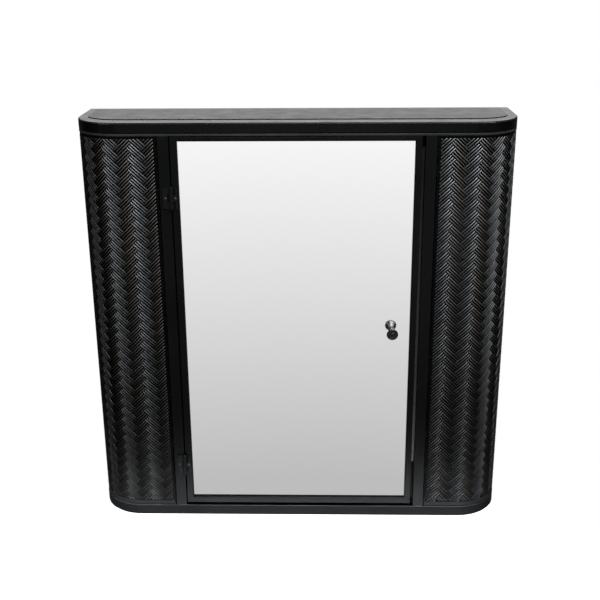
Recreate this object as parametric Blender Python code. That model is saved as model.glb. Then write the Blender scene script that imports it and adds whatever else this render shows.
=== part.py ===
"""Wall-hung medicine cabinet with a mirrored door.

The cabinet hangs with its back on the plane y = 0 and faces -Y.  The origin is the centre
of the back face, +Z is up.  Its plan is a rectangle with two round front corners; woven
sheets wrap those corners, and a framed mirror door turns on two surface-mounted hinges.
"""
import math

import bmesh
import bpy
from mathutils import Matrix, Vector

# ---- driving dimensions, in metres ----
WIDTH = 0.700
HEIGHT = 0.6914
DEPTH = 0.154
CORNER_RADIUS = 0.072
FIT_GAP = 0.0003
ARC_STEPS = 12

TOP_THICKNESS = 0.0167
TOP_RIM_WIDTH = 0.031
TOP_RIM_SIDE_WIDTH = 0.015
TOP_SEAM = 0.0006
TOP_RIM_DROP = 0.0009
TOP_GROOVE = 0.0011
EDGE_ROUND = 0.002
CHAMFER = 0.0005
TOP_GROOVE_DEPTH = 0.005
UPPER_RIM_HEIGHT = 0.0033
BOTTOM_RIM_HEIGHT = 0.0186
RIM_WIDTH = 0.014
SHEET = 0.003

STILE_X = {-1: 0.1977, 1: 0.1999}
STILE_WIDTH = 0.0175
SIDE_GAP = 0.0020
STILE_DEPTH = 0.0197
STOP_THICKNESS = 0.003
STOP_REACH = 0.012
STOP_STRIP_WIDTH = 0.0043
STOP_STRIP_THICKNESS = 0.0080
STOP_STRIP_BOTTOM = 0.1014
STOP_STRIP_TOP = 0.6494
POST_SIZE = 0.014
WEAVE_INSET = 0.0006
LINER_INSET = 0.0042
LINER_THICKNESS = 0.0015

DOOR_LEFT_X = -0.1957
DOOR_RIGHT_X = 0.1945
DOOR_BOTTOM = 0.0243
DOOR_TOP = 0.6688
DOOR_THICKNESS = 0.016
WINDOW_LEFT_X = -0.1848
WINDOW_RIGHT_X = 0.1844
WINDOW_BOTTOM = 0.0347
WINDOW_TOP = 0.6615
LIP_THICKNESS = 0.0052
LIP_ROUND = 0.0022
REBATE_MARGIN = 0.0036
GLASS_THICKNESS = 0.004
BACKING_THICKNESS = 0.003
BACK_COVER_THICKNESS = 0.0015
BACK_COVER_RECESS = 0.0005

HINGE_AXIS_X = -0.1967
BARREL_RADIUS = 0.0033
BARREL_BORE = 0.0019
HINGE_PIN_RADIUS = 0.0016
PIN_HEAD_RADIUS = 0.0028
PIN_HEAD_EDGE = 0.0006
PIN_TIP_RADIUS = 0.0015
PIN_TIP_REACH = 0.0022
HINGE_LENGTH = 0.034
HINGE_HEIGHTS = (("upper", 0.5724), ("lower", 0.1004))
LEAF_THICKNESS = 0.0012
LEAF_SETBACK = 0.0001
STILE_LEAF_REACH = 0.0135
DOOR_LEAF_REACH = 0.0098
STILE_SCREW_REACH = 0.0092
DOOR_SCREW_REACH = 0.0062

KNOB_X = 0.155
KNOB_HEIGHT = 0.3485
KNOB_LENGTH = 0.0223
KNOB_RADIUS = 0.0094
KNOB_NECK_RADIUS = 0.0043
KNOB_FOOT_RADIUS = 0.0051
KNOB_DISH_RADIUS = 0.0066
KNOB_BOSS_RADIUS = 0.0030
KNOB_DISH_DEPTH = 0.0004
KNOB_BORE_DEPTH = 0.010
WASHER_RADIUS = 0.0052
WASHER_THICKNESS = 0.0008

# head radius, head height, shank radius, shank length
KNOB_SCREW = (0.0036, 0.0014, 0.0019, 0.0185)
HINGE_SCREW = (0.0024, 0.0013, 0.0013, 0.006)
CATCH_SCREW = (0.0028, 0.0012, 0.0014, 0.010)

SHELF_THICKNESS = 0.005
SHELF_HEIGHTS = (("lower", 0.234), ("upper", 0.450))
SHELF_SIDE_INSET = 0.0105
SHELF_FRONT_INSET = 0.034
SHELF_BACK_INSET = 0.016
SHELF_CORNER_RADIUS = 0.040
SHELF_PIN_RADIUS = 0.003
SHELF_PIN_LENGTH = 0.014
SHELF_PIN_DEPTHS = (0.026, 0.076)

CATCH_SIZE = (0.040, 0.014, 0.015)
CATCH_X = 0.160
CATCH_SCREW_SPREAD = 0.0144
CATCH_FRONT_Y = -0.1340
MAGNET_SIZE = (0.026, 0.0016, 0.009)
STRIKE_SIZE = (0.034, 0.0012, 0.012)
BUMPER_RADIUS = 0.004
BUMPER_THICKNESS = 0.0022
BUMPER_INSET = 0.0048
BUMPER_HEIGHTS = (0.0430, 0.6580)

KEYHOLE_X = 0.220
KEYHOLE_HEIGHT = 0.600
KEYHOLE_ENTRY = 0.006
KEYHOLE_SLOT = 0.003
KEYHOLE_RISE = 0.014
KEYHOLE_PLATE = (0.064, 0.002, 0.064)
KEYHOLE_WINDOW = (0.040, 0.044)

ROUND_STEPS = 12
KNOB_STEPS = 24
FRONT_Y = -DEPTH
PIVOT_Y = FRONT_Y - FIT_GAP - BARREL_RADIUS


def up(height):
    """World z of a point this far above the cabinet's underside."""
    return height - HEIGHT / 2


# ---- materials and objects ----
def clear_scene():
    for old in list(bpy.data.objects):
        bpy.data.objects.remove(old, do_unlink=True)


def finish(name, colour, roughness, metallic=0.0):
    """A Principled material with one colour."""
    made = bpy.data.materials.new(name)
    made.use_nodes = True
    shader = made.node_tree.nodes["Principled BSDF"]
    shader.inputs["Base Color"].default_value = (*colour, 1.0)
    shader.inputs["Roughness"].default_value = roughness
    shader.inputs["Metallic"].default_value = metallic
    return made


def add_piece(name, bm, place, look, parent=None):
    """Turn a bmesh built around its own origin into a named object at place."""
    bmesh.ops.recalc_face_normals(bm, faces=bm.faces)
    mesh = bpy.data.meshes.new(name)
    bm.to_mesh(mesh)
    bm.free()
    mesh.shade_smooth()
    mesh.set_sharp_from_angle(angle=math.radians(35))
    mesh.materials.append(look)
    piece = bpy.data.objects.new(name, mesh)
    bpy.context.collection.objects.link(piece)
    piece.location = Vector(place)
    if parent:
        piece.parent = parent
        piece.location = Vector(place) - parent.location
    return piece


def repeat_piece(original, name, place):
    """Another object that shares the original's mesh and parent."""
    twin = bpy.data.objects.new(name, original.data)
    bpy.context.collection.objects.link(twin)
    twin.parent = original.parent
    twin.location = Vector(place) - (twin.parent.location if twin.parent else Vector())
    return twin


def add_copies(name, bm, places, look, parent=None):
    """The same piece at several places, numbered from 1."""
    first = add_piece(name + "_1", bm, places[0], look, parent)
    for number, place in enumerate(places[1:], start=2):
        repeat_piece(first, f"{name}_{number}", place)


def hide_tool(piece):
    piece.hide_render = True
    piece.display_type = "WIRE"
    return piece


def combine(target, tool, operation):
    step = target.modifiers.new(operation.lower(), "BOOLEAN")
    step.operation = operation
    step.solver = "EXACT"
    step.object = hide_tool(tool)


def soften(piece, width=CHAMFER):
    """Break the sharp edges of a piece with a narrow bevel."""
    bevel = piece.modifiers.new("edge", "BEVEL")
    bevel.width = width
    bevel.segments = 1
    bevel.limit_method = "ANGLE"
    bevel.angle_limit = math.radians(50)


# ---- shapes ----
def add_loop(bm, points):
    return [bm.verts.new(point) for point in points]


def join_loops(bm, first, second):
    count = len(first)
    for i in range(count):
        j = (i + 1) % count
        bm.faces.new((first[i], first[j], second[j], second[i]))


def prism_mesh(outline, thickness):
    """An outline in the XY plane, raised by thickness."""
    bm = bmesh.new()
    low = add_loop(bm, [(x, y, 0.0) for x, y in outline])
    high = add_loop(bm, [(x, y, thickness) for x, y in outline])
    join_loops(bm, low, high)
    bm.faces.new(low)
    bm.faces.new(high)
    return bm


def box_mesh(size):
    bm = bmesh.new()
    bmesh.ops.create_cube(bm, size=1.0, matrix=Matrix.Diagonal((*size, 1.0)))
    return bm


def turned_mesh(profile, steps, facing):
    """A solid of revolution: profile is (distance along facing, radius), ends on the axis."""
    bm = bmesh.new()
    loops = []
    for along, radius in profile[1:-1]:
        circle = [(radius * math.cos(a), radius * math.sin(a), along)
                  for a in (2 * math.pi * i / steps for i in range(steps))]
        loops.append(add_loop(bm, circle))
    for first, second in zip(loops, loops[1:]):
        join_loops(bm, first, second)
    for tip_along, loop in ((profile[0][0], loops[0]), (profile[-1][0], loops[-1])):
        tip = bm.verts.new((0.0, 0.0, tip_along))
        for i in range(steps):
            bm.faces.new((loop[i], loop[(i + 1) % steps], tip))
    turn = Vector((0.0, 0.0, 1.0)).rotation_difference(Vector(facing)).to_matrix().to_4x4()
    bmesh.ops.transform(bm, matrix=turn, verts=bm.verts)
    return bm


def rod_mesh(radius, length, facing, steps=ROUND_STEPS):
    half = length / 2
    return turned_mesh(((-half, 0.0), (-half, radius), (half, radius), (half, 0.0)), steps, facing)


def merge_meshes(parts):
    """One bmesh from (bmesh, offset) pairs, kept as separate bodies."""
    whole = bmesh.new()
    for bm, offset in parts:
        bmesh.ops.translate(bm, vec=Vector(offset), verts=bm.verts)
        loose = bpy.data.meshes.new("loose")
        bm.to_mesh(loose)
        bm.free()
        whole.from_mesh(loose)
        bpy.data.meshes.remove(loose)
    return whole


def arc(centre, radius, start, end, steps=ARC_STEPS):
    """Points from start to end degrees, counter-clockwise when end is larger."""
    points = []
    for i in range(steps + 1):
        a = math.radians(start + (end - start) * i / steps)
        points.append((centre[0] + radius * math.cos(a), centre[1] + radius * math.sin(a)))
    return points


def quarter_round(radius, steps=3):
    """(inset, drop) pairs of a rounded edge, from the side face up to the top face."""
    angles = [math.radians(90 * i / steps) for i in range(steps + 1)]
    return [(radius - radius * math.cos(a), radius - radius * math.sin(a)) for a in angles]


def plan_outline(inset, side_inset=None):
    """The cabinet's plan, square at the wall and round at the front, moved in (the ends by side_inset)."""
    if side_inset is None:
        side_inset = inset
    half = WIDTH / 2 - side_inset
    centre_x = WIDTH / 2 - CORNER_RADIUS
    centre_y = CORNER_RADIUS - DEPTH
    right = [(centre_x + x * (CORNER_RADIUS - side_inset), centre_y + y * (CORNER_RADIUS - inset))
             for x, y in arc((0, 0), 1, 270, 360)]
    left = [(-x, y) for x, y in right[::-1]]
    return [(-half, -side_inset)] + left + right + [(half, -side_inset)]


def moulding(name, profile, look):
    """A ring that follows the plan; profile is a closed list of (inset, height[, side_inset])."""
    bm = bmesh.new()
    loops = []
    for inset, height, *side_inset in profile:
        loops.append(add_loop(bm, [(x, y, up(height)) for x, y in plan_outline(inset, *side_inset)]))
    for i, loop in enumerate(loops):
        join_loops(bm, loop, loops[(i + 1) % len(loops)])
    return add_piece(name, bm, (0, 0, 0), look)


def plan_plate(name, inset, low, high, look, side_inset=None):
    """A plate that fills the plan inside a ring."""
    bm = prism_mesh(plan_outline(inset, side_inset), high - low)
    return add_piece(name, bm, (0, 0, up(low)), look)


def box_between(name, low, high, look, parent=None):
    """A box from its lowest to its highest corner; z counts from the underside."""
    size = [b - a for a, b in zip(low, high)]
    centre = [(a + b) / 2 for a, b in zip(low, high)]
    return add_piece(name, box_mesh(size), (centre[0], centre[1], up(centre[2])), look, parent)


def side_path(inset, side):
    """Plan line of a side sheet, from the stile round the corner to the rear post."""
    centre = (WIDTH / 2 - CORNER_RADIUS, CORNER_RADIUS - DEPTH)
    start = STILE_X[side] + STILE_WIDTH + SIDE_GAP
    points = [(start, FRONT_Y + inset)]
    points += arc(centre, CORNER_RADIUS - inset, 270, 360)
    points.append((WIDTH / 2 - inset, -POST_SIZE - FIT_GAP))
    return [(side * x, y) for x, y in points]


def side_sheet(name, inset, thickness, side, look):
    """A sheet of even thickness that follows side_path between the two rims."""
    outline = side_path(inset, side) + side_path(inset + thickness, side)[::-1]
    bm = prism_mesh(outline, WALL_TOP - WALL_BOTTOM)
    return add_piece(name, bm, (0, 0, up(WALL_BOTTOM)), look)


# ---- heights that follow from the driving dimensions ----
TOP_BOTTOM = HEIGHT - TOP_THICKNESS
UPPER_RIM_TOP = TOP_BOTTOM - TOP_GROOVE
UPPER_RIM_BOTTOM = UPPER_RIM_TOP - UPPER_RIM_HEIGHT
WALL_BOTTOM = BOTTOM_RIM_HEIGHT + FIT_GAP
WALL_TOP = UPPER_RIM_BOTTOM - FIT_GAP
STOP_FRONT_Y = FRONT_Y + STILE_DEPTH + FIT_GAP
STOP_BACK_Y = STOP_FRONT_Y + STOP_THICKNESS
GLASS_FRONT_Y = FRONT_Y + LIP_THICKNESS + FIT_GAP
GLASS_BACK_Y = GLASS_FRONT_Y + GLASS_THICKNESS
BACKING_BACK_Y = GLASS_BACK_Y + FIT_GAP + BACKING_THICKNESS
DOOR_BACK_Y = FRONT_Y + DOOR_THICKNESS
COVER_BACK_Y = DOOR_BACK_Y - BACK_COVER_RECESS
COVER_FRONT_Y = COVER_BACK_Y - BACK_COVER_THICKNESS


# ---- fasteners ----
def screw_mesh(head_radius, head_height, shank_radius, shank_length, facing):
    """A domed screw; its head stands on the plane through the origin and looks along facing."""
    profile = ((head_height, 0.0), (head_height * 0.93, head_radius * 0.45),
               (head_height * 0.55, head_radius * 0.86), (0.0, head_radius),
               (0.0, shank_radius), (-shank_length, shank_radius), (-shank_length, 0.0))
    return turned_mesh(profile, ROUND_STEPS, facing)


def screw_set(name, points, facing, look, parent, sizes, targets):
    """Identical screws, numbered from 1, with a clearance hole through each target."""
    head_radius, head_height, shank_radius, shank_length = sizes
    lift = Vector(facing) * FIT_GAP
    places = [Vector(point) + lift for point in points]
    screw = screw_mesh(head_radius, head_height, shank_radius, shank_length, facing)
    if len(places) == 1:
        add_piece(name, screw, places[0], look, parent)
    else:
        add_copies(name, screw, places, look, parent)
    holes = [(rod_mesh(shank_radius + FIT_GAP, 2 * shank_length + FIT_GAP * 4, facing),
              Vector(point) - Vector(points[0])) for point in points]
    cutter = add_piece(name + "_holes", merge_meshes(holes), points[0], look, parent)
    for target in targets:
        combine(target, cutter, "DIFFERENCE")


# ---- the fixed body ----
def build_rims(black, board):
    rim_top = HEIGHT - TOP_RIM_DROP
    rounded = [(inset, rim_top - drop) for inset, drop in quarter_round(EDGE_ROUND)]
    top_profile = [(TOP_RIM_WIDTH, TOP_BOTTOM, TOP_RIM_SIDE_WIDTH), (CHAMFER, TOP_BOTTOM),
                   (0.0, TOP_BOTTOM + CHAMFER)]
    top_profile += rounded + [(TOP_RIM_WIDTH, rim_top, TOP_RIM_SIDE_WIDTH)]
    moulding("top_rim", top_profile, black)
    plan_plate("top_panel", TOP_RIM_WIDTH + TOP_SEAM, TOP_BOTTOM, HEIGHT, board,
               TOP_RIM_SIDE_WIDTH + TOP_SEAM)

    seat = TOP_BOTTOM - FIT_GAP
    upper_profile = [(RIM_WIDTH, UPPER_RIM_BOTTOM), (0.0, UPPER_RIM_BOTTOM),
                     (0.0, UPPER_RIM_TOP - CHAMFER), (CHAMFER, UPPER_RIM_TOP),
                     (TOP_GROOVE_DEPTH, UPPER_RIM_TOP), (TOP_GROOVE_DEPTH, seat), (RIM_WIDTH, seat)]
    moulding("upper_rim", upper_profile, black)
    plan_plate("ceiling_panel", RIM_WIDTH + FIT_GAP, UPPER_RIM_BOTTOM, UPPER_RIM_TOP, black)

    bottom_profile = [(RIM_WIDTH, 0.0), (CHAMFER, 0.0), (0.0, CHAMFER),
                      (0.0, BOTTOM_RIM_HEIGHT - CHAMFER), (CHAMFER, BOTTOM_RIM_HEIGHT),
                      (RIM_WIDTH, BOTTOM_RIM_HEIGHT)]
    moulding("bottom_rim", bottom_profile, black)
    plan_plate("bottom_panel", RIM_WIDTH + FIT_GAP, FIT_GAP, BOTTOM_RIM_HEIGHT - FIT_GAP, board)


def build_walls(black, woven, lining, stop_felt):
    """Stiles, door stops, rear posts, woven sides and their linings; returns the left stile."""
    stiles = {}
    for side, word, stop_word in ((-1, "left", "hinge_side"), (1, "right", "latch_side")):
        inner = STILE_X[side]
        near, far = sorted((side * inner, side * (inner + STILE_WIDTH)))
        stiles[word] = box_between(word + "_stile", (near, FRONT_Y, WALL_BOTTOM),
                                   (far, FRONT_Y + STILE_DEPTH, WALL_TOP), black)
        soften(stiles[word])
        near, far = sorted((side * (inner - STOP_REACH), side * (inner + STILE_WIDTH)))
        box_between(stop_word + "_stop", (near, STOP_FRONT_Y, WALL_BOTTOM),
                    (far, STOP_BACK_Y, WALL_TOP), black)
        near, far = sorted((side * (WIDTH / 2 - POST_SIZE), side * WIDTH / 2))
        post = box_between(word + "_rear_post", (near, -POST_SIZE, WALL_BOTTOM), (far, 0.0, WALL_TOP), black)
        soften(post)
        side_sheet(word + "_woven_panel", WEAVE_INSET, SHEET, side, woven)
        side_sheet(word + "_liner", LINER_INSET, LINER_THICKNESS, side, lining)
    strip_back = STOP_FRONT_Y - FIT_GAP
    strip_inner = STILE_X[1] - FIT_GAP - STOP_STRIP_WIDTH
    box_between("door_stop_strip", (strip_inner, strip_back - STOP_STRIP_THICKNESS, STOP_STRIP_BOTTOM),
                (strip_inner + STOP_STRIP_WIDTH, strip_back, STOP_STRIP_TOP), stop_felt)
    return stiles["left"]


def keyhole_outline():
    """Round entry with a narrower slot that rises from it."""
    spread = math.degrees(math.asin(KEYHOLE_SLOT / KEYHOLE_ENTRY))
    entry = arc((0.0, 0.0), KEYHOLE_ENTRY, 90 + spread, 450 - spread)
    slot = arc((0.0, KEYHOLE_RISE), KEYHOLE_SLOT, 0, 180, ROUND_STEPS // 2)
    return entry + slot


def build_back(black, steel):
    """The back sheet and the two plates that hang on wall screws."""
    side = WIDTH / 2 - POST_SIZE - FIT_GAP
    back = box_between("back_panel", (-side, -SHEET, WALL_BOTTOM), (side, 0.0, WALL_TOP), black)
    plate_y = -SHEET - FIT_GAP - KEYHOLE_PLATE[1] / 2
    window_z = KEYHOLE_HEIGHT + KEYHOLE_RISE / 2
    for sign, word in ((-1, "left"), (1, "right")):
        x = sign * KEYHOLE_X
        plate = add_piece(word + "_keyhole_plate", box_mesh(KEYHOLE_PLATE), (x, plate_y, up(window_z)), steel)
        window = add_piece(word + "_back_window", box_mesh((KEYHOLE_WINDOW[0], SHEET * 3, KEYHOLE_WINDOW[1])),
                           (x, 0.0, up(window_z)), steel)
        combine(back, window, "DIFFERENCE")
        cutter_mesh = prism_mesh(keyhole_outline(), SHEET * 3)
        stand = Matrix.Rotation(math.radians(90), 4, "X")
        bmesh.ops.transform(cutter_mesh, matrix=stand, verts=cutter_mesh.verts)
        cutter = add_piece(word + "_keyhole", cutter_mesh, (x, 0.0, up(KEYHOLE_HEIGHT)), steel)
        combine(plate, cutter, "DIFFERENCE")


def shelf_outline():
    """Glass shelf: straight sides and back, round front corners."""
    half = WIDTH / 2 - SHELF_SIDE_INSET
    radius = SHELF_CORNER_RADIUS
    front = FRONT_Y + SHELF_FRONT_INSET
    back = -SHELF_BACK_INSET
    left = arc((-half + radius, front + radius), radius, 180, 270, ARC_STEPS // 2)
    right = arc((half - radius, front + radius), radius, 270, 360, ARC_STEPS // 2)
    return [(-half, back)] + left + right + [(half, back)]


def build_shelves(glass, steel):
    wall_x = WIDTH / 2 - LINER_INSET - LINER_THICKNESS - FIT_GAP
    for word, height in SHELF_HEIGHTS:
        add_piece(word + "_shelf", prism_mesh(shelf_outline(), SHELF_THICKNESS), (0, 0, up(height)), glass)
        pin_height = height - FIT_GAP - SHELF_PIN_RADIUS
        pin = rod_mesh(SHELF_PIN_RADIUS, SHELF_PIN_LENGTH, (1, 0, 0))
        places = [(side * (wall_x - SHELF_PIN_LENGTH / 2), -depth, up(pin_height))
                  for side in (-1, 1) for depth in SHELF_PIN_DEPTHS]
        add_copies(word + "_shelf_pin", pin, places, steel)


def build_catch(black, steel):
    """A magnetic catch that hangs from the ceiling panel behind the door's top edge."""
    ceiling = UPPER_RIM_BOTTOM - FIT_GAP
    low = ceiling - CATCH_SIZE[2]
    x0 = CATCH_X - CATCH_SIZE[0] / 2
    housing = box_between("catch_housing", (x0, CATCH_FRONT_Y, low),
                          (x0 + CATCH_SIZE[0], CATCH_FRONT_Y + CATCH_SIZE[1], ceiling), black)
    magnet_y = CATCH_FRONT_Y - FIT_GAP
    magnet_z = (low + ceiling) / 2 - MAGNET_SIZE[2] / 2
    half = MAGNET_SIZE[0] / 2
    box_between("catch_magnet", (CATCH_X - half, magnet_y - MAGNET_SIZE[1], magnet_z),
                (CATCH_X + half, magnet_y, magnet_z + MAGNET_SIZE[2]), steel)
    y = CATCH_FRONT_Y + CATCH_SIZE[1] / 2
    points = [(CATCH_X + side * CATCH_SCREW_SPREAD, y, up(low)) for side in (-1, 1)]
    screw_set("catch_screw", points, (0, 0, -1), steel, None, CATCH_SCREW, (housing,))


# ---- the door ----
def build_door_frame(black, axis):
    """One welded frame, with a lip at the front and a deep rebate behind it."""
    outer = (DOOR_LEFT_X, DOOR_RIGHT_X, DOOR_BOTTOM, DOOR_TOP)
    window = (WINDOW_LEFT_X, WINDOW_RIGHT_X, WINDOW_BOTTOM, WINDOW_TOP)
    lip_y = FRONT_Y + LIP_THICKNESS
    profile = [(outer, -CHAMFER, FRONT_Y), (outer, 0.0, FRONT_Y + CHAMFER),
               (outer, 0.0, DOOR_BACK_Y - CHAMFER), (outer, -CHAMFER, DOOR_BACK_Y),
               (window, REBATE_MARGIN, DOOR_BACK_Y), (window, REBATE_MARGIN, lip_y),
               (window, 0.0, lip_y)]
    profile += [(window, grow, FRONT_Y + drop) for grow, drop in quarter_round(LIP_ROUND)]
    bm = bmesh.new()
    loops = []
    for (left, right, low, high), grow, y in profile:
        corners = ((left - grow, low - grow), (right + grow, low - grow),
                   (right + grow, high + grow), (left - grow, high + grow))
        loops.append(add_loop(bm, [Vector((x, y, up(z))) - axis.location for x, z in corners]))
    for i, loop in enumerate(loops):
        join_loops(bm, loop, loops[(i + 1) % len(loops)])
    return add_piece("door_frame", bm, axis.location, black, axis)


def rebate_sheet(name, front_y, back_y, look, axis):
    """A sheet that fills the door's rebate, with a fit gap all round."""
    margin = REBATE_MARGIN - FIT_GAP
    return box_between(name, (WINDOW_LEFT_X - margin, front_y, WINDOW_BOTTOM - margin),
                       (WINDOW_RIGHT_X + margin, back_y, WINDOW_TOP + margin), look, axis)


def build_knob(metal, rubber, steel, drilled, axis):
    """A flared knob on the glass, held by a screw from behind the door."""
    place_z = up(KNOB_HEIGHT)
    washer_y = GLASS_FRONT_Y - FIT_GAP
    washer = add_piece("knob_washer", rod_mesh(WASHER_RADIUS, WASHER_THICKNESS, (0, -1, 0), KNOB_STEPS),
                       (KNOB_X, washer_y - WASHER_THICKNESS / 2, place_z), rubber, axis)
    base_y = washer_y - WASHER_THICKNESS - FIT_GAP
    face = KNOB_LENGTH - (GLASS_FRONT_Y - base_y)
    bore = KNOB_SCREW[2] + FIT_GAP
    dish = face - KNOB_DISH_DEPTH
    profile = [(KNOB_BORE_DEPTH, 0.0), (KNOB_BORE_DEPTH, bore), (0.0, bore),
               (0.0, KNOB_FOOT_RADIUS), (0.0010, KNOB_FOOT_RADIUS),
               (0.0024, KNOB_NECK_RADIUS), (0.0040, KNOB_NECK_RADIUS), (0.0062, 0.0048),
               (face - 0.0032, KNOB_RADIUS - 0.0006), (face - 0.0022, KNOB_RADIUS),
               (face - 0.0010, KNOB_RADIUS), (face - 0.0003, KNOB_RADIUS - 0.0004),
               (face, KNOB_RADIUS - 0.0011), (face, KNOB_DISH_RADIUS), (dish, KNOB_DISH_RADIUS - 0.0004),
               (dish, KNOB_BOSS_RADIUS), (face, KNOB_BOSS_RADIUS - 0.0004), (face, 0.0)]
    add_piece("knob", turned_mesh(profile, KNOB_STEPS, (0, -1, 0)), (KNOB_X, base_y, place_z), metal, axis)
    point = (KNOB_X, COVER_BACK_Y, place_z)
    screw_set("knob_screw", [point], (0, 1, 0), steel, axis, KNOB_SCREW, (*drilled, washer))


def leaf_mesh(side, reach, length):
    """Flat leaf that grows out of the barrel's back wall and runs out sideways."""
    bm = box_mesh((reach, LEAF_THICKNESS, length))
    middle_y = BARREL_RADIUS - LEAF_SETBACK - LEAF_THICKNESS / 2
    bmesh.ops.translate(bm, vec=(side * reach / 2, middle_y, 0.0), verts=bm.verts)
    return bm


def tube_mesh(outer, inner, length, steps=16):
    bm = bmesh.new()
    rings = []
    for radius, z in ((inner, -length / 2), (outer, -length / 2), (outer, length / 2), (inner, length / 2)):
        circle = [(radius * math.cos(a), radius * math.sin(a), z)
                  for a in (2 * math.pi * i / steps for i in range(steps))]
        rings.append(add_loop(bm, circle))
    for i, ring in enumerate(rings):
        join_loops(bm, ring, rings[(i + 1) % len(rings)])
    return bm


def build_hinges(black, steel, stile, frame, axis):
    """Two surface-mounted hinges: outer knuckles on the stile, middle knuckle on the door."""
    knuckle = HINGE_LENGTH / 3
    for word, height in HINGE_HEIGHTS:
        place = (HINGE_AXIS_X, PIVOT_Y, up(height))
        stile_leaf = add_piece(word + "_stile_leaf", leaf_mesh(-1, STILE_LEAF_REACH, HINGE_LENGTH),
                               place, black)
        notch = add_piece(word + "_stile_notch", box_mesh((4 * BARREL_RADIUS, 4 * BARREL_RADIUS, knuckle)),
                          place, black)
        outer = merge_meshes([(tube_mesh(BARREL_RADIUS, BARREL_BORE, knuckle - FIT_GAP),
                               (0, 0, end * (knuckle + FIT_GAP / 2))) for end in (-1, 1)])
        knuckles = add_piece(word + "_stile_knuckles", outer, place, black)
        combine(stile_leaf, notch, "DIFFERENCE")
        combine(stile_leaf, knuckles, "UNION")

        middle = knuckle - 2 * FIT_GAP
        door_leaf = add_piece(word + "_door_leaf", leaf_mesh(1, DOOR_LEAF_REACH, HINGE_LENGTH),
                              place, black, axis)
        ends = merge_meshes([(box_mesh((4 * BARREL_RADIUS, 4 * BARREL_RADIUS, 2 * knuckle)),
                              (0, 0, end * 1.5 * knuckle)) for end in (-1, 1)])
        end_notches = add_piece(word + "_door_notches", ends, place, black, axis)
        barrel = add_piece(word + "_door_knuckle", tube_mesh(BARREL_RADIUS, BARREL_BORE, middle),
                           place, black, axis)
        combine(door_leaf, end_notches, "DIFFERENCE")
        combine(door_leaf, barrel, "UNION")

        face_y = PIVOT_Y + BARREL_RADIUS - LEAF_SETBACK - LEAF_THICKNESS
        for owner, reach, leaf, backing, parent in (("stile", -STILE_SCREW_REACH, stile_leaf, stile, None),
                                                    ("door", DOOR_SCREW_REACH, door_leaf, frame, axis)):
            point = (HINGE_AXIS_X + reach, face_y, up(height))
            screw_set(f"{word}_{owner}_screw", [point], (0, -1, 0), steel, parent, HINGE_SCREW,
                      (leaf, backing))

        tip = HINGE_LENGTH / 2 + PIN_TIP_REACH
        cap = HINGE_LENGTH / 2 + FIT_GAP
        upper_half = [(cap, HINGE_PIN_RADIUS), (cap, PIN_HEAD_RADIUS), (cap + PIN_HEAD_EDGE, PIN_HEAD_RADIUS),
                      (tip, PIN_TIP_RADIUS), (tip, 0.0)]
        lower_half = [(-along, radius) for along, radius in upper_half[::-1]]
        add_piece(word + "_hinge_pin", turned_mesh(lower_half + upper_half, ROUND_STEPS, (0, 0, 1)),
                  place, steel)


def build_door_back(steel, rubber, axis):
    """Strike plate and corner bumpers behind the door."""
    y = DOOR_BACK_Y + FIT_GAP
    z = UPPER_RIM_BOTTOM - FIT_GAP - CATCH_SIZE[2] / 2
    half_x = STRIKE_SIZE[0] / 2
    half_z = STRIKE_SIZE[2] / 2
    box_between("strike_plate", (CATCH_X - half_x, y, z - half_z),
                (CATCH_X + half_x, y + STRIKE_SIZE[1], z + half_z), steel, axis)
    pad_y = DOOR_BACK_Y + FIT_GAP + BUMPER_THICKNESS / 2
    pad = rod_mesh(BUMPER_RADIUS, BUMPER_THICKNESS, (0, 1, 0))
    places = [(DOOR_RIGHT_X - BUMPER_INSET, pad_y, up(height)) for height in BUMPER_HEIGHTS]
    add_copies("door_bumper", pad, places, rubber, axis)


def build():
    clear_scene()
    black = finish("black_steel", (0.012, 0.012, 0.013), 0.38)
    board = finish("black_board", (0.016, 0.016, 0.017), 0.42)
    woven = finish("black_weave", (0.018, 0.018, 0.019), 0.40)
    lining = finish("lining", (0.02, 0.02, 0.021), 0.55)
    mirror = finish("mirror", (0.92, 0.93, 0.93), 0.02, 1.0)
    backing = finish("backing", (0.08, 0.06, 0.045), 0.8)
    knob_metal = finish("knob_metal", (0.09, 0.09, 0.1), 0.18, 1.0)
    steel = finish("steel", (0.45, 0.45, 0.46), 0.3, 1.0)
    rubber = finish("rubber", (0.03, 0.03, 0.03), 0.7)
    felt = finish("stop_felt", (0.55, 0.52, 0.48), 0.9)
    glass = finish("shelf_glass", (0.78, 0.88, 0.86), 0.05)

    build_rims(black, board)
    stile = build_walls(black, woven, lining, felt)
    build_back(black, steel)
    build_shelves(glass, steel)
    build_catch(black, steel)

    axis = bpy.data.objects.new("door_axis", None)
    bpy.context.collection.objects.link(axis)
    axis.location = (HINGE_AXIS_X, PIVOT_Y, up((DOOR_BOTTOM + DOOR_TOP) / 2))
    frame = build_door_frame(black, axis)
    glass_sheet = rebate_sheet("mirror_glass", GLASS_FRONT_Y, GLASS_BACK_Y, mirror, axis)
    board_sheet = rebate_sheet("mirror_backing", GLASS_BACK_Y + FIT_GAP, BACKING_BACK_Y, backing, axis)
    cover = rebate_sheet("door_back_cover", COVER_FRONT_Y, COVER_BACK_Y, black, axis)
    build_knob(knob_metal, rubber, steel, (glass_sheet, board_sheet, cover), axis)
    build_hinges(black, steel, stile, frame, axis)
    build_door_back(steel, rubber, axis)


build()
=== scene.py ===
"""Looks of the wall-hung medicine cabinet: woven sides, finishes, small hardware and light."""
import math

import bmesh
import bpy
from mathutils import Matrix, Vector


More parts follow.
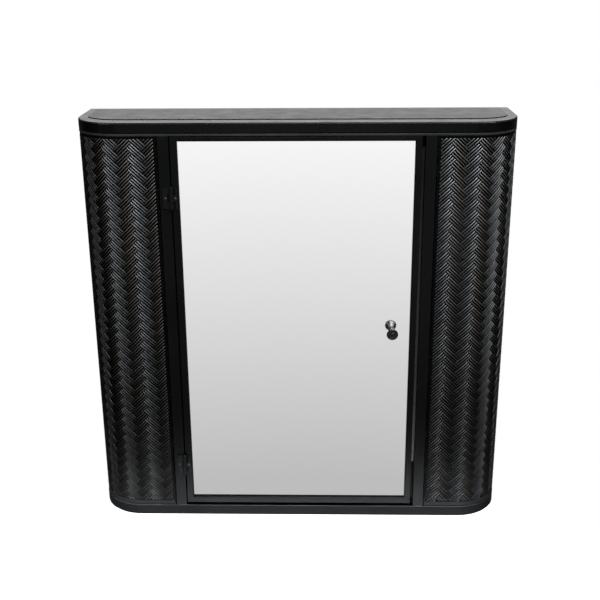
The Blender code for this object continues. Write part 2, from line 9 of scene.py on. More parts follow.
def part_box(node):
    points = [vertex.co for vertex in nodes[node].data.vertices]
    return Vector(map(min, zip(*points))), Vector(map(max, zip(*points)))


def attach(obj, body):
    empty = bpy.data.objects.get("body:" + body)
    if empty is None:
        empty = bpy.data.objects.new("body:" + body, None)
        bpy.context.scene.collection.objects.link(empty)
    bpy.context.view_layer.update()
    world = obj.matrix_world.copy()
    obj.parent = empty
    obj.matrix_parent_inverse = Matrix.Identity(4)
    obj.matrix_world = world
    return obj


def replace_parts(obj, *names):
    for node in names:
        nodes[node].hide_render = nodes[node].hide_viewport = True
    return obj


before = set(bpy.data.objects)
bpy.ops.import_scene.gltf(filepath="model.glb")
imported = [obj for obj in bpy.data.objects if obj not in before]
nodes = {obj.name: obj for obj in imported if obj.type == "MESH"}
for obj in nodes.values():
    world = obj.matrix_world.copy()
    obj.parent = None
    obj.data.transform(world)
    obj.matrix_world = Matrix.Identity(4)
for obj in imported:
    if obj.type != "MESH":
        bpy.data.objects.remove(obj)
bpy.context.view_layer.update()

# ---- camera ----
CAMERA_PLACE = Vector((0.0403, -1.6352, 0.5839))
CAMERA_PITCH = math.radians(19.576)
CAMERA_YAW = math.radians(-1.383)
CAMERA_ROLL = math.radians(-0.4055)
CAMERA_LENS = 57.95
SENSOR_WIDTH = 36.0

# ---- the body, read from the frame ----
RIM_LOW, RIM_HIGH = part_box("bottom_rim")
PANELS = {-1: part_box("left_woven_panel"), 1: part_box("right_woven_panel")}
HALF_WIDTH = RIM_HIGH.x
FRONT_Y = RIM_LOW.y
CORNER_RADIUS = 0.072
BEND_START = HALF_WIDTH - CORNER_RADIUS
BEND_LENGTH = CORNER_RADIUS * math.pi / 2

# ---- the woven sheets ----
EDGE_BAND = 0.0040
TOP_BAND = 0.0026
TOP_BAND_GROOVE = 0.0017
BOTTOM_BAND = 0.0090
FOOT_GROOVE = 0.0009
BAND_INSET = 0.0006
FIELD_INSET = 0.0024
SHEET_BACK_INSET = 0.0036
BAND_SLOPE = 0.00025
BEND_STEPS = 24
# painted shade on the latch-gap strip: darkest at the first height, palest at the second
STRIP_SHADE_HEIGHTS = (0.25, -0.15)

REPEAT_ACROSS = 0.0420
REPEAT_UP = 0.01733
STRAND_STEP = Vector((0.0030, 0.0029))
STRAND_RISE = 0.95
HALF_REACH = 0.0098
STRAND_HALF_WIDTH = 0.0019
STRAND_HEIGHT = 0.0015
STRAND_BELLY = 0.0004
BELLY_SHARE = 0.6
CREST_INSET = 0.00035
# painted highlight on each strand: a pale band on its upper side, between these offsets across the strand
HIGHLIGHT_LOW_EDGE = (-0.0001, 0.0004)
HIGHLIGHT_HIGH_EDGE = (0.0010, 0.0014)
# painted highlight fades to almost nothing towards the bottom of the cabinet between these heights
HIGHLIGHT_FADE_HEIGHTS = (-0.36, 0.24)
# painted shade: the strand highlight is dimmed near the far left and right corners
PAINTED_SHADE_ENDS = ((-0.325, -0.285, 0.3, 1.0), (0.300, 0.335, 1.0, 0.5))
ARCH = 0.00025
DIP_DEPTH = 0.0012
DIP_LENGTH = 0.0030
BORDER_TUCK = 0.0009
SHORTEST_STRAND = 0.0035
ROW_PLACES = (0.0, 0.055, 0.11, 0.195, 0.385, 0.615, 0.805, 0.89, 0.945, 1.0)
CROSS_ANGLES = (0, 30, 60, 90, 120, 150, 180)
# middle of one rising block on each side, as (reach along the fabric, height)
RISING_BLOCK = {-1: Vector((-0.2282, 0.3078)), 1: Vector((0.2329, 0.2973))}

# ---- the knob ----
FOOT_RADIUS = 0.0051
FOOT_BEVEL = 0.0003
FOOT_LENGTH = 0.0010
BORE_RADIUS = 0.0022
BORE_DEPTH = 0.0095
# (distance from the glass, radius) along the neck, and where the cone leaves it
NECK_PROFILE = ((0.0018, 0.0045), (0.0026, 0.0043), (0.0040, 0.0043), (0.0054, 0.0045))
CONE_START = Vector((0.0064, 0.0049))
CONE_END_BACK = Vector((0.0032, 0.0006))
CONE_STEPS = 4
RIM_ROUND = 0.0011
RIM_ANGLES = range(-60, 91, 25)
# (radius, depth below the front) of the rings turned into the face
FACE_RINGS = ((0.0072, 0.0), (0.0069, 0.0004), (0.0052, 0.0004), (0.0050, 0.0001), (0.0046, 0.0001),
              (0.0044, 0.0004), (0.0026, 0.0005), (0.0023, 0.0002), (0.0012, 0.0001))
FACE_MIDDLE_DEPTH = 0.0001

# ---- rivets and cover screws ----
RIVET_RADIUS = 0.0026
SCREW_RADIUS = 0.0028
HEAD_HEIGHT = 0.0010
HEAD_STEPS = 24
RIVET_INSET = 0.0055
COVER_SCREW_INSET = 0.012
COVER_SCREW_TOP_INSET = 0.0216
COVER_SCREW_MIDDLES = (-0.1, 0.1)
# (share of the height, share of the radius) from the foot of a head to its recessed middle
HEAD_PROFILE = ((0.0, 0.0), (0.0, 1.0), (0.35, 0.98), (0.7, 0.82), (0.93, 0.55), (1.0, 0.32), (0.55, 0.26),
                (0.5, 0.0))

# ---- light ----
# Each part of the room is a product of ramps over the direction looked in: (axis, low, high, start, end).
ROOM_BEHIND = (("Y", 0.5, 0.8, 0.0, 2.0), ("Z", 0.085, 0.165, 0.0, 1.0), ("Z", 0.26, 0.46, 1.0, 0.1),
               ("aside", 0.24, 0.34, 1.0, 0.0))
ROOM_IN_FRONT = (("Z", -0.5, -0.17, 0.50, 0.93), ("Z", 0.0, 0.15, 1.0, 0.05), ("Y", -0.2, -0.6, 0.0, 1.0),
                 ("X", 0.100, 0.135, 1.0, 0.12), ("X", -0.185, -0.150, 0.12, 1.0))
ROOM_GLOW = (("Y", 0.3, 0.8, 0.02, 0.06),)
COOL = (0.94, 0.97, 1.0)
PALE = (0.97, 0.98, 1.0)
WARM = (1.0, 0.92, 0.83)
WIDE_SPREAD = 180
LOW_SPREAD = 120
# name, place, aimed at, size, watts, colour, spread in degrees, seen in reflections
LAMPS = (
    ("overhead", (0.40, -0.95, 1.16), (0.1, -0.15, 0.2), (1.6, 0.3), 56, COOL, WIDE_SPREAD, True),
    ("left_side", (-1.25, -1.1, 0.8), (-0.26, -0.1, 0.1), (0.4, 0.4), 9, WARM, WIDE_SPREAD, True),
    ("left_rear", (-2.0, 1.6, 0.7), (0.0, 0.0, 0.0), (0.8, 0.8), 50, PALE, WIDE_SPREAD, False),
    ("right_side", (1.25, -1.1, 0.8), (0.26, -0.1, 0.1), (0.4, 0.4), 9, WARM, WIDE_SPREAD, True),
    ("right_rear", (2.0, 1.6, 0.7), (0.0, 0.0, 0.0), (0.8, 0.8), 50, PALE, WIDE_SPREAD, False),
    ("low_fill", (-0.15, -0.30, -0.38), (-0.15, -0.15, -0.38), (1.1, 0.05), 13, PALE, LOW_SPREAD, False),
)
FLOOR_RADIUS = 1.5
FLOOR_HEIGHT = -1.25

# ---- finishes ----
RUBBED_RADIUS = 0.0007
RUBBED_GAIN = 3.0
# painted highlight: faces whose normal leans up by these amounts, on a rounded top edge, get a lighter tone
EDGE_HIGHLIGHT_START = (0.15, 0.4, 0.0, 1.0)
EDGE_HIGHLIGHT_END = (0.9, 0.99, 1.0, 0.0)
PEEL_SCALE = 650.0
GRAIN_SCALE = 420.0
# painted highlight: stronger at a strand's upper end, weaker at its lower end
HIGHLIGHT_FADE_ALONG = (-0.003, 0.009, 0.26, 1.0)
MIRROR_TONES = ((0.965, 0.967, 0.967, 1.0), (0.985, 0.985, 0.983, 1.0))
# the strip's painted shade, from dark brown at the top to pale grey lower down
STRIP_TONES = ((0.009, 0.007, 0.005, 1.0), (0.060, 0.057, 0.052, 1.0))
SHELF_TONES = ((0.80, 0.93, 0.89, 1.0), (0.86, 0.95, 0.92, 1.0))
# what a CAD node is made of: the first word found in its name decides
FINISH_WORDS = (
    ("shelf_pin", "bright_steel"), ("keyhole", "bright_steel"), ("strike", "bright_steel"),
    ("magnet", "bright_steel"), ("screw", "black_screw_painted_highlight"), ("leaf", "hinge_paint_painted_highlight"),
    ("hinge_pin", "hinge_paint_painted_highlight"), ("_shelf", "glass"), ("mirror_glass", "mirror"),
    ("mirror_backing", "hardboard"), ("washer", "rubber"), ("bumper", "rubber"), ("stop_strip", "felt"),
    ("liner", "lining"), ("knob", "knob_metal"), ("top_rim", "slab_paint"), ("upper_rim", "rim_paint_painted_light"),
    ("bottom_rim", "ring_paint"), ("top_panel", "board_paint"), ("bottom_panel", "back_paint"),
    ("ceiling_panel", "back_paint"), ("back_cover", "back_paint"), ("back_panel", "back_paint"),
    ("rear_post", "back_paint"),
)
SHARP_ANGLE = math.radians(40)


def add_camera():
    data = bpy.data.cameras.new("camera")
    data.lens = CAMERA_LENS
    data.sensor_width = SENSOR_WIDTH
    data.clip_start = 0.01
    data.clip_end = 200.0
    camera = bpy.data.objects.new("camera", data)
    bpy.context.scene.collection.objects.link(camera)
    cos_pitch, sin_pitch = math.cos(CAMERA_PITCH), math.sin(CAMERA_PITCH)
    cos_yaw, sin_yaw = math.cos(CAMERA_YAW), math.sin(CAMERA_YAW)
    cos_roll, sin_roll = math.cos(CAMERA_ROLL), math.sin(CAMERA_ROLL)
    ahead = Vector((sin_yaw * cos_pitch, cos_yaw * cos_pitch, -sin_pitch))
    level = Vector((cos_yaw, -sin_yaw, 0.0))
    upright = level.cross(ahead)
    right = cos_roll * level + sin_roll * upright
    up = cos_roll * upright - sin_roll * level
    turn = Matrix((right, up, -ahead)).transposed().to_4x4()
    camera.matrix_world = Matrix.Translation(CAMERA_PLACE) @ turn
    bpy.context.scene.camera = camera


# ---- node graphs ----
class Graph:
    """Adds nodes to one node tree; a socket given as a value is linked."""

    def __init__(self, tree):
        self.tree = tree

    def add(self, kind, inputs=(), **settings):
        node = self.tree.nodes.new("ShaderNode" + kind)
        for name, value in settings.items():
            setattr(node, name, value)
        for socket, value in dict(inputs).items():
            self.feed(node.inputs[socket], value)
        return node

    def feed(self, socket, value):
        if isinstance(value, bpy.types.NodeSocket):
            self.tree.links.new(value, socket)
        else:
            socket.default_value = value

    def noise(self, scale, detail=3.0, stretch=(1.0, 1.0, 1.0), space="Object"):
        """Noise from 0 to 1, in metres of the given coordinate space."""
        place = self.add("TexCoord").outputs[space]
        spread = self.add("Mapping", {"Vector": place, "Scale": stretch})
        vector = spread.outputs[0]
        return self.add("TexNoise", {"Vector": vector, "Scale": scale, "Detail": detail}).outputs[0]

    def place(self, axis):
        """The point's own coordinate along one axis."""
        return self.add("SeparateXYZ", {0: self.add("TexCoord").outputs["Object"]}).outputs[axis]

    def span(self, value, low, high, start=0.0, end=1.0):
        """Map low..high to start..end, and hold the ends."""
        return self.add("MapRange", {"Value": value, "From Min": low, "From Max": high,
                                     "To Min": start, "To Max": end}).outputs[0]

    def math(self, operation, first, second):
        return self.add("Math", {0: first, 1: second}, operation=operation).outputs[0]

    def product(self, first, *others):
        for value in others:
            first = self.math("MULTIPLY", first, value)
        return first

    def blend(self, factor, first, second):
        """Colour that goes from first to second."""
        return self.add("MixRGB", {"Fac": factor, "Color1": first, "Color2": second}).outputs[0]

    def relief(self, height, distance, normal=None):
        bump = self.add("Bump", {"Height": height, "Distance": distance, "Strength": 1.0})
        if normal:
            self.feed(bump.inputs["Normal"], normal)
        return bump.outputs[0]

    def rubbed_edges(self, radius):
        """0 on faces, rising to 1 on the outer edges, broken up by noise; and the softened normal."""
        soft = self.add("Bevel", {"Radius": radius}, samples=4).outputs[0]
        plain = self.add("NewGeometry").outputs["Normal"]
        bend = self.add("VectorMath", {0: soft, 1: plain}, operation="DOT_PRODUCT").outputs["Value"]
        edge = self.span(bend, 0.97, 0.75)
        return self.product(edge, self.span(self.noise(60.0), 0.42, 0.68)), soft


def surface(name, settings):
    """A Principled material with its fixed values set; returns it, its graph and its shader."""
    made = bpy.data.materials.new(name)
    made.use_nodes = True
    shader = made.node_tree.nodes["Principled BSDF"]
    for socket, value in settings.items():
        shader.inputs[socket].default_value = value
    return made, Graph(made.node_tree), shader


def grey(level, warmth=0.0):
    """A near-neutral colour; warmth above 0 leans to brown, below 0 to blue."""
    return (level * (1 + warmth), level, level * (1 - warmth), 1.0)


# ---- finishes ----
def painted(name, dark, light, rough, specular, peel=0.000006, grain=None, painted_edge_highlight=None):
    """Coating with a cloudy tone, orange peel or grain, and rubbed edges; painted_edge_highlight paints a
    highlight on rounded edges turning upwards.
    """
    made, graph, shader = surface(name, {"Specular IOR Level": specular})
    cloud = graph.span(graph.noise(7.0, 5.0), 0.35, 0.65)
    wear_and_highlight_mask, soft_normal = graph.rubbed_edges(RUBBED_RADIUS)
    coat = graph.blend(cloud, grey(dark, -0.05), grey(light, -0.02))
    coat = graph.blend(wear_and_highlight_mask, coat, grey(light * RUBBED_GAIN, -0.04))
    if painted_edge_highlight:
        # painted highlight on the upward-turning round edge, broken up by noise
        slope = graph.add("SeparateXYZ", {0: graph.add("NewGeometry").outputs["Normal"]}).outputs["Z"]
        edge_highlight_mask = graph.product(graph.span(slope, *EDGE_HIGHLIGHT_START), graph.span(slope, *EDGE_HIGHLIGHT_END),
                                graph.span(graph.noise(25.0, 4.0), 0.35, 0.6, 0.5, 1.0))
        coat = graph.blend(edge_highlight_mask, coat, grey(painted_edge_highlight, -0.03))
    graph.feed(shader.inputs["Base Color"], coat)
    texture = graph.noise(GRAIN_SCALE, 2.0, grain) if grain else graph.noise(PEEL_SCALE, 2.0)
    fine = graph.noise(38.0, 6.0)
    graph.feed(shader.inputs["Roughness"], graph.span(fine, 0.3, 0.7, rough - 0.03, rough + 0.04))
    graph.feed(shader.inputs["Normal"], graph.relief(texture, peel, soft_normal))
    return made


def strand_finish(name, highlight_tone, warmth):
    """Glossy black strand with fine lines and a painted highlight: a paler band on its upper side that fades
    towards its lower end.
    """
    made, graph, shader = surface(name, {"Specular IOR Level": 0.12})
    own = graph.add("Attribute", attribute_name="tone").outputs["Fac"]
    place = graph.add("SeparateXYZ", {0: graph.add("TexCoord").outputs["UV"]}).outputs
    lines = graph.noise(1.0, 3.0, (90.0, 3200.0, 1.0), "UV")
    # painted highlight mask: a band on the strand's upper side, fading along it, towards the bottom and near
    # the far corners
    wear_and_highlight_mask = graph.product(graph.span(place["Y"], *HIGHLIGHT_LOW_EDGE),
                           graph.span(place["Y"], *HIGHLIGHT_HIGH_EDGE, 1.0, 0.0),
                           graph.span(place["X"], *HIGHLIGHT_FADE_ALONG),
                           graph.span(lines, 0.3, 0.6, 0.6, 1.0),
                           graph.span(graph.place("Z"), *HIGHLIGHT_FADE_HEIGHTS, 0.06, 1.0),
                           *(graph.span(graph.place("X"), *end) for end in PAINTED_SHADE_ENDS))
    body = graph.blend(own, grey(0.0004, -0.10), grey(0.0012, 0.06))
    painted_highlight = graph.blend(own, grey(highlight_tone * 0.75, warmth), grey(highlight_tone * 1.25, warmth))
    graph.feed(shader.inputs["Base Color"], graph.blend(wear_and_highlight_mask, body, painted_highlight))
    graph.feed(shader.inputs["Roughness"], graph.span(lines, 0.25, 0.75, 0.30, 0.37))
    graph.feed(shader.inputs["Normal"], graph.relief(lines, 0.000002))
    return made


def mirror_finish():
    """Silvered glass, with a faint haze that breaks up very slightly."""
    made, graph, shader = surface("mirror_silver", {"Metallic": 1.0})
    haze = graph.noise(5.0, 6.0)
    graph.feed(shader.inputs["Base Color"], graph.blend(haze, *MIRROR_TONES))
    graph.feed(shader.inputs["Roughness"], graph.span(haze, 0.35, 0.8, 0.0, 0.012))
    return made


def bright_metal(name, dark, light, rough, across=60.0, along=900.0):
    """Turned or drawn metal with fine marks and dull patches."""
    made, graph, shader = surface(name, {"Metallic": 1.0})
    marks = graph.noise(1.0, 3.0, (across, along, across))
    patch = graph.noise(90.0, 4.0)
    graph.feed(shader.inputs["Base Color"], graph.blend(patch, grey(dark), grey(light)))
    graph.feed(shader.inputs["Roughness"], graph.span(marks, 0.25, 0.75, rough * 0.7, rough * 1.3))
    graph.feed(shader.inputs["Normal"], graph.relief(marks, 0.000006))
    return made


def soft_matter(name, dark, light, rough, scale, depth, warmth=0.0):
    """Rubber, hardboard or lining: a speckled, matt surface."""
    made, graph, shader = surface(name, {"Specular IOR Level": 0.3})
    speckle = graph.noise(scale, 8.0)
    tone = graph.blend(graph.span(speckle, 0.3, 0.7), grey(dark, warmth), grey(light, warmth))
    graph.feed(shader.inputs["Base Color"], tone)
    graph.feed(shader.inputs["Roughness"], graph.span(speckle, 0.2, 0.8, rough, min(1.0, rough + 0.12)))
    graph.feed(shader.inputs["Normal"], graph.relief(speckle, depth))
    return made


def felt_finish():
    """The pale strip seen through the latch gap, with painted shade: darker and browner at the top, paler
    towards the bottom.
    """
    made, graph, shader = surface("felt", {"Specular IOR Level": 0.2})
    fibre = graph.span(graph.noise(1400.0, 8.0), 0.3, 0.7, 0.8, 1.2)
    out_of_shade = graph.span(graph.place("Z"), *STRIP_SHADE_HEIGHTS, 0.0, 1.0)
    tone = graph.blend(out_of_shade, *STRIP_TONES)
    shade = graph.add("VectorMath", {0: tone, "Scale": fibre}, operation="SCALE").outputs[0]
    graph.feed(shader.inputs["Base Color"], shade)
    graph.feed(shader.inputs["Roughness"], graph.span(fibre, 0.8, 1.2, 0.85, 0.95))
    graph.feed(shader.inputs["Normal"], graph.relief(fibre, 0.0001))
    return made


def shelf_finish():
    """Clear float glass with a green body and a trace of dust."""
    made, graph, shader = surface("shelf_glass", {"Transmission Weight": 1.0, "IOR": 1.5})
    dust = graph.noise(45.0, 7.0)
    graph.feed(shader.inputs["Base Color"], graph.blend(dust, *SHELF_TONES))
    graph.feed(shader.inputs["Roughness"], graph.span(dust, 0.45, 0.75, 0.0, 0.06))
    return made


def make_finishes():
    return {
        "steel_paint": painted("steel_paint", 0.0020, 0.0029, 0.30, 0.03),
        # the slab's rounded top edge gets a painted highlight
        "slab_paint": painted("slab_paint", 0.0006, 0.0010, 0.27, 0.12, painted_edge_highlight=0.010),
        "board_paint": painted("board_paint", 0.0008, 0.0013, 0.30, 0.08, 0.000008, (6.0, 0.5, 6.0)),
        "back_paint": painted("back_paint", 0.020, 0.034, 0.42, 0.20, 0.00001),
        "sheet_paint": painted("sheet_paint", 0.0006, 0.0010, 0.36, 0.03),
        "band_paint": painted("band_paint", 0.0018, 0.0028, 0.36, 0.03),
        # the bottom ring's top edge gets a painted highlight
        "ring_paint": painted("ring_paint", 0.0010, 0.0015, 0.30, 0.03, painted_edge_highlight=0.022),
        # painted highlight: hinge parts get a slightly paler, glossier copy of the black paint, standing in
        # for light on the knuckles
        "hinge_paint_painted_highlight": painted("hinge_paint_painted_highlight", 0.0024, 0.0036, 0.26, 0.10),
        # painted light: the upper rim gets a much paler copy of the black paint, standing in for light
        # caught on its chamfered front
        "rim_paint_painted_light": painted("rim_paint_painted_light", 0.009, 0.016, 0.30, 0.05),
        # painted light: lit and shaded copies of one strand, a paler cool highlight for the family facing
        # the lamps and a dimmer warm one for the other
        "painted_lit_strand": strand_finish("painted_lit_strand", 0.145, -0.06),
        "painted_shaded_strand": strand_finish("painted_shaded_strand", 0.070, 0.06),
        "mirror": mirror_finish(),
        "knob_metal": bright_metal("knob_metal", 0.036, 0.052, 0.38, 400.0, 400.0),
        "bright_steel": bright_metal("bright_steel", 0.42, 0.55, 0.30),
        # painted highlight: screw heads get a paler copy of the black paint, standing in for the light they
        # catch
        "black_screw_painted_highlight": painted("black_screw_painted_highlight", 0.0120, 0.0200, 0.30, 0.08),
        "rubber": soft_matter("rubber", 0.018, 0.034, 0.62, 500.0, 0.00002),
        "felt": felt_finish(),
        "hardboard": soft_matter("hardboard", 0.05, 0.10, 0.75, 700.0, 0.00006, 0.35),
        "lining": soft_matter("lining", 0.012, 0.020, 0.50, 600.0, 0.00002),
        "glass": shelf_finish(),
    }


def finish_for(node):
    """Which finish a CAD node gets, from what the piece is."""
    for word, finish in FINISH_WORDS:
        if word in node:
            return finish
    return "steel_paint"


def dress_nodes(finishes):
    for name, node in nodes.items():
        node.data.materials.clear()
        node.data.materials.append(finishes[finish_for(name)])


# ---- mesh helpers ----
def store(shape, mesh):
    """Write the shape into the mesh, with its faces turned outwards."""
    bmesh.ops.recalc_face_normals(shape, faces=shape.faces)
    shape.to_mesh(mesh)
    shape.free()


def add_object(name, mesh, finish, body):
    mesh.shade_smooth()
    mesh.set_sharp_from_angle(angle=SHARP_ANGLE)
    mesh.materials.append(finish)
    made = bpy.data.objects.new(name, mesh)
    bpy.context.scene.collection.objects.link(made)
    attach(made, body)
    return made


def fabric_point(side, reach, inset, z):
    """A point on a side sheet: reach runs from the middle of the front, round the corner, to the wall."""
    turn = min(max((reach - BEND_START) / CORNER_RADIUS, 0.0), math.pi / 2)
    flat = min(reach, BEND_START)
    beyond = max(reach - BEND_START - BEND_LENGTH, 0.0)
    radius = CORNER_RADIUS - inset
    x = flat + radius * math.sin(turn)
    y = FRONT_Y + CORNER_RADIUS - radius * math.cos(turn) + beyond
    return side * x, y, z


def sheet_limits(side):
    """Where a side sheet starts and ends along the fabric, and its lower and upper edge."""
    low, high = PANELS[side]
    start = min(abs(low.x), abs(high.x))
    end = BEND_START + BEND_LENGTH + high.y - FRONT_Y - CORNER_RADIUS
    return start, end, low.z, high.z


# ---- the woven sides ----
def smooth(value):
    value = min(max(value, 0.0), 1.0)
    return value * value * (3 - 2 * value)


def clip_run(centre, step, half, limits):
    """The stretch of a strand, as signed distances from its middle, that lies within the field."""
    first, last = -half, half
    for at, rate, low, high in zip(centre, step, limits[0], limits[1]):
        ends = sorted(((low - at) / rate, (high - at) / rate))
        first, last = max(first, ends[0]), min(last, ends[1])
    return first, last


def strand_rows(side, centre, lean, limits):
    """Cross sections of one strand, each a ring of (reach, height, inset), with its place along."""
    along = Vector((1.0, lean * STRAND_RISE)).normalized()
    across = Vector((-along.y, along.x))
    half = HALF_REACH / along.x
    tuck = Vector((BORDER_TUCK, BORDER_TUCK))
    low, high = limits
    first, last = clip_run(centre, along, half * 1.08, (low - tuck, high + tuck))
    if last - first < SHORTEST_STRAND:
        return []
    rows = []
    for place in ROW_PLACES:
        distance = first + (last - first) * place
        lift = smooth(min(distance - first, last - distance) / DIP_LENGTH)
        base = CREST_INSET + STRAND_HEIGHT + DIP_DEPTH * (1 - lift) + ARCH * (distance / half) ** 2
        middle = centre + along * distance
        ring = []
        for angle in map(math.radians, CROSS_ANGLES):
            ring.append((math.cos(angle) * STRAND_HALF_WIDTH, base - math.sin(angle) * STRAND_HEIGHT))
        ring += [(share * STRAND_HALF_WIDTH, base + STRAND_BELLY) for share in (-BELLY_SHARE, BELLY_SHARE)]
        points = []
        for offset, inset in ring:
            spot = middle + across * offset
            reach = min(max(spot.x, low.x), high.x)
            z = min(max(spot.y, low.y), high.y)
            points.append((fabric_point(side, side * reach, inset, z), (lean * distance, offset)))
        rows.append(points)
    return rows


def block_middles(side, lean, limits):
    """Middles of all blocks of strands that lean one way and touch the field."""
    first = RISING_BLOCK[side].copy()
    if lean < 0:
        first += Vector((REPEAT_ACROSS / 2, -REPEAT_UP / 2))
    low, high = limits
    spare = HALF_REACH * 1.6
    counts = []
    for at, repeat, a, b in ((first.x, REPEAT_ACROSS, low.x, high.x), (first.y, REPEAT_UP, low.y, high.y)):
        counts.append(range(math.ceil((a - spare - at) / repeat), math.floor((b + spare - at) / repeat) + 1))
    return [first + Vector((i * REPEAT_ACROSS, j * REPEAT_UP)) for i in counts[0] for j in counts[1]]


def field_limits(side):
    """Lowest and highest (fabric place, height) of the woven field inside its bands."""
    start, end, bottom, top = sheet_limits(side)
    places = sorted((side * (start + EDGE_BAND), side * (end - EDGE_BAND)))
    return (Vector((places[0], bottom + BOTTOM_BAND)),
            Vector((places[1], top - TOP_BAND - TOP_BAND_GROOVE)))


def weave(side, lean, name, finish):
    """One mesh with every strand of a side sheet that rises (lean 1) or falls (lean -1)."""
    limits = field_limits(side)
    points, faces, lines, tones = [], [], [], []
    step = Vector((STRAND_STEP.x, -lean * STRAND_STEP.y))
    for number, middle in enumerate(block_middles(side, lean, limits)):
        for k in (-1, 0, 1):
            rows = strand_rows(side, middle + step * k, lean, limits)
            tone = math.modf(math.sin((number * 3 + k) * 12.9898 + lean) * 437.585)[0] % 1.0
            base = len(points)
            size = len(rows[0]) if rows else 0
            for row in rows:
                points += [point for point, line in row]
                lines += [line for point, line in row]
                tones += [tone] * size
            for i in range(len(rows) - 1):
                for j in range(size):
                    a, b = base + i * size + j, base + i * size + (j + 1) % size
                    faces.append((a, b, b + size, a + size))
            if rows:
                faces.append(tuple(range(base, base + size))[::-1])
                faces.append(tuple(range(len(points) - size, len(points))))
    mesh = bpy.data.meshes.new(name)
    mesh.from_pydata(points, [], faces)
    mesh.attributes.new("tone", "FLOAT", "POINT").data.foreach_set("value", tones)
    uv = mesh.uv_layers.new(name="along").data
    for loop in mesh.loops:
        uv[loop.index].uv = lines[loop.vertex_index]
    shape = bmesh.new()
    shape.from_mesh(mesh)
    store(shape, mesh)
    return add_object(name, mesh, finish, "root")


def base_sheet(side, name, finish, band_finish):
    """The sheet behind the strands, with raised bands round the woven field and a groove at the foot."""
    start, end, bottom, top = sheet_limits(side)
    field_start, field_end = start + EDGE_BAND, end - EDGE_BAND
    field_low, field_high = bottom + BOTTOM_BAND, top - TOP_BAND
    reaches = [start, field_start - BAND_SLOPE, field_start + BAND_SLOPE]
    reaches += [BEND_START + BEND_LENGTH * i / BEND_STEPS for i in range(BEND_STEPS + 1)]
    reaches += [field_end - BAND_SLOPE, field_end + BAND_SLOPE, end]
    levels = [bottom, bottom + FOOT_GROOVE, bottom + FOOT_GROOVE + BAND_SLOPE,
              field_low - BAND_SLOPE, field_low + BAND_SLOPE,
              field_high - BAND_SLOPE, field_high + BAND_SLOPE, top]
    shape = bmesh.new()
    outer, inner = [], []
    for reach in reaches:
        column = []
        for z in levels:
            in_field = field_start < reach < field_end and field_low < z < field_high
            sunk = in_field or z < bottom + 1.1 * FOOT_GROOVE
            inset = FIELD_INSET if sunk else BAND_INSET
            column.append(shape.verts.new(fabric_point(side, reach, inset, z)))
        outer.append(column)
        inner.append([shape.verts.new(fabric_point(side, reach, SHEET_BACK_INSET, z)) for z in levels])
    for grid in (outer, inner):
        for left, right in zip(grid, grid[1:]):
            for j in range(len(levels) - 1):
                shape.faces.new((left[j], right[j], right[j + 1], left[j + 1]))
    for i in (0, -1):
        for j in range(len(levels) - 1):
            shape.faces.new((outer[i][j], outer[i][j + 1], inner[i][j + 1], inner[i][j]))
    for i in range(len(reaches) - 1):
        for j in (0, -1):
            shape.faces.new((outer[i][j], outer[i + 1][j], inner[i + 1][j], inner[i][j]))
    for face in shape.faces:
        face.material_index = 1 if face.calc_center_median().z < field_low else 0
    mesh = bpy.data.meshes.new(name)
    store(shape, mesh)
    made = add_object(name, mesh, finish, "root")
    mesh.materials.append(band_finish)
    return made


def build_sides(finishes):
    for side, word in ((-1, "left"), (1, "right")):
        panel = word + "_woven_panel"
        sheet = base_sheet(side, word + "_side_sheet", finishes["sheet_paint"], finishes["band_paint"])
        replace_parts(sheet, panel)
        for lean, way in ((1, "rising"), (-1, "falling")):
            # painted light: on each side the strands leaning towards the lamps take the lit copy, the others
            # the shaded copy
            finish = finishes["painted_lit_strand" if lean == side else "painted_shaded_strand"]
            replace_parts(weave(side, lean, f"{word}_{way}_strands", finish), panel)


# ---- turned pieces ----
def turned(name, profile, place, finish, body, facing=(0, -1, 0), steps=64):
    """A turned piece: profile is (distance along facing, radius), with its ends on the axis."""
    shape = bmesh.new()
    turn = Vector((0.0, 0.0, 1.0)).rotation_difference(Vector(facing)).to_matrix().to_4x4()
    rings = []
    for along, radius in profile[1:-1]:
        rings.append([shape.verts.new((radius * math.cos(a), radius * math.sin(a), along))
                      for a in (2 * math.pi * i / steps for i in range(steps))])
    for first, second in zip(rings, rings[1:]):
        for i in range(steps):
            j = (i + 1) % steps
            shape.faces.new((first[i], first[j], second[j], second[i]))
    for along, ring in ((profile[0][0], rings[0]), (profile[-1][0], rings[-1])):
        tip = shape.verts.new((0.0, 0.0, along))
        for i in range(steps):
            shape.faces.new((ring[i], ring[(i + 1) % steps], tip))
    bmesh.ops.transform(shape, matrix=Matrix.Translation(place) @ turn, verts=shape.verts)
    mesh = bpy.data.meshes.new(name)
    store(shape, mesh)
    return add_object(name, mesh, finish, body)


def build_knob(finish):
    """The turned knob: a dished face with rings, a round rim and a cone down to the neck."""
    low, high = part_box("knob")
    length = high.y - low.y
    radius = (high.z - low.z) / 2
    place = ((low.x + high.x) / 2, high.y, (low.z + high.z) / 2)
    profile = [(BORE_DEPTH, 0.0), (BORE_DEPTH, BORE_RADIUS), (0.0, BORE_RADIUS),
               (0.0, FOOT_RADIUS - FOOT_BEVEL), (FOOT_BEVEL, FOOT_RADIUS), (FOOT_LENGTH, FOOT_RADIUS),
               *NECK_PROFILE]
    cone_end = Vector((length, radius)) - CONE_END_BACK
    profile += [tuple(CONE_START.lerp(cone_end, i / CONE_STEPS)) for i in range(CONE_STEPS + 1)]
    for angle in map(math.radians, RIM_ANGLES):
        profile.append((length - RIM_ROUND + RIM_ROUND * math.sin(angle),
                        radius - RIM_ROUND + RIM_ROUND * math.cos(angle)))
    profile += [(length - depth, ring) for ring, depth in FACE_RINGS]
    profile.append((length - FACE_MIDDLE_DEPTH, 0.0))
    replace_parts(turned("turned_knob", profile, place, finish, "door"), "knob")


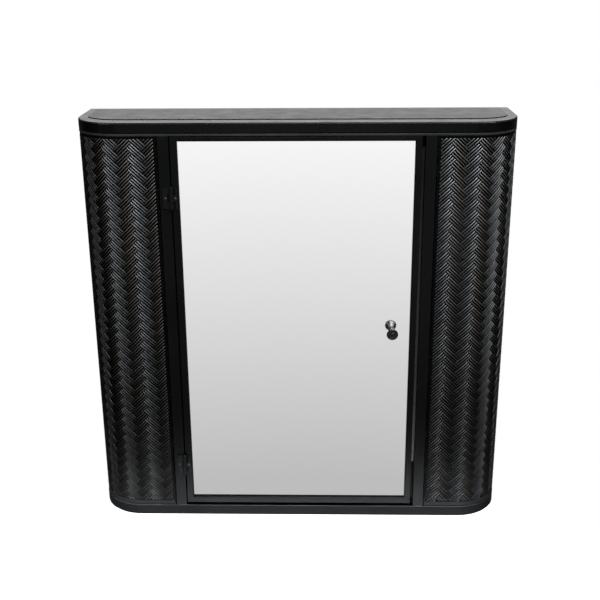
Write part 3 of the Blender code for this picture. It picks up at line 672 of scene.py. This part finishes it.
def head_profile(radius):
    """A low domed head with a shallow round recess."""
    return [(height * HEAD_HEIGHT, width * radius) for height, width in HEAD_PROFILE]


def build_fasteners(finishes):
    """Rivet heads on the inside of the hanging plates, and the screws that hold the door's back cover."""
    for word in ("left", "right"):
        low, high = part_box(word + "_keyhole_plate")
        corners = [(x, z) for x in (low.x + RIVET_INSET, high.x - RIVET_INSET)
                   for z in (low.z + RIVET_INSET, high.z - RIVET_INSET)]
        for number, (x, z) in enumerate(corners, 1):
            turned(f"{word}_plate_rivet_{number}", head_profile(RIVET_RADIUS), (x, low.y, z),
                   finishes["bright_steel"], "root", steps=HEAD_STEPS)
    low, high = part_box("door_back_cover")
    sides = (low.x + COVER_SCREW_INSET, high.x - COVER_SCREW_INSET)
    ends = (low.z + COVER_SCREW_INSET, high.z - COVER_SCREW_TOP_INSET)
    spots = [(x, z) for x in sides for z in (*ends, *COVER_SCREW_MIDDLES)] + [(0.0, z) for z in ends]
    for number, (x, z) in enumerate(spots, 1):
        turned(f"cover_screw_{number}", head_profile(SCREW_RADIUS), (x, high.y, z),
               finishes["black_screw_painted_highlight"], "door", (0, 1, 0), HEAD_STEPS)


# ---- light, floor and backdrop ----
def build_floor():
    bpy.ops.mesh.primitive_circle_add(vertices=96, radius=FLOOR_RADIUS, fill_type="NGON",
                                      location=(0, 0, FLOOR_HEIGHT))
    floor = bpy.context.object
    floor.name = "floor"
    made, graph, shader = surface("pale_floor", {"Roughness": 0.9, "Emission Strength": 1.0})
    shader.inputs["Emission Color"].default_value = (1, 1, 1, 1)
    cloud = graph.noise(2.0)
    graph.feed(shader.inputs["Base Color"], graph.blend(cloud, grey(0.86), grey(0.9)))
    floor.data.materials.append(made)
    floor.visible_glossy = False


def build_world():
    """White to the camera; reflections show a bright wall behind, a room in front and a dim rest."""
    world = bpy.data.worlds.new("studio")
    world.use_nodes = True
    bpy.context.scene.world = world
    graph = Graph(world.node_tree)
    ray = graph.add("SeparateXYZ", {0: graph.add("TexCoord").outputs["Generated"]}).outputs
    direction = {axis: ray[axis] for axis in "XYZ"}
    direction["aside"] = graph.math("ABSOLUTE", ray["X"], 0.0)
    behind, front, glow = (graph.product(*(graph.span(direction[axis], *ramp) for axis, *ramp in ramps))
                           for ramps in (ROOM_BEHIND, ROOM_IN_FRONT, ROOM_GLOW))
    room = graph.math("ADD", graph.math("ADD", behind, front), glow)
    seen = graph.add("LightPath").outputs["Is Camera Ray"]
    background = world.node_tree.nodes["Background"]
    graph.feed(background.inputs["Color"], graph.blend(seen, room, grey(1.0)))


def area_light(name, place, target, size, watts, colour, spread, seen_in_gloss):
    data = bpy.data.lights.new(name, "AREA")
    data.shape = "RECTANGLE"
    data.size, data.size_y = size
    data.energy = watts
    data.color = colour
    data.spread = math.radians(spread)
    lamp = bpy.data.objects.new(name, data)
    bpy.context.scene.collection.objects.link(lamp)
    lamp.location = place
    aim = Vector(target) - Vector(place)
    lamp.rotation_euler = aim.to_track_quat("-Z", "Y").to_euler()
    lamp.visible_glossy = seen_in_gloss
    lamp.visible_camera = False


add_camera()
finishes = make_finishes()
dress_nodes(finishes)
build_sides(finishes)
build_knob(finishes["knob_metal"])
build_fasteners(finishes)
build_floor()
build_world()
for lamp in LAMPS:
    area_light(*lamp)
bpy.context.scene.view_settings.view_transform = "Standard"
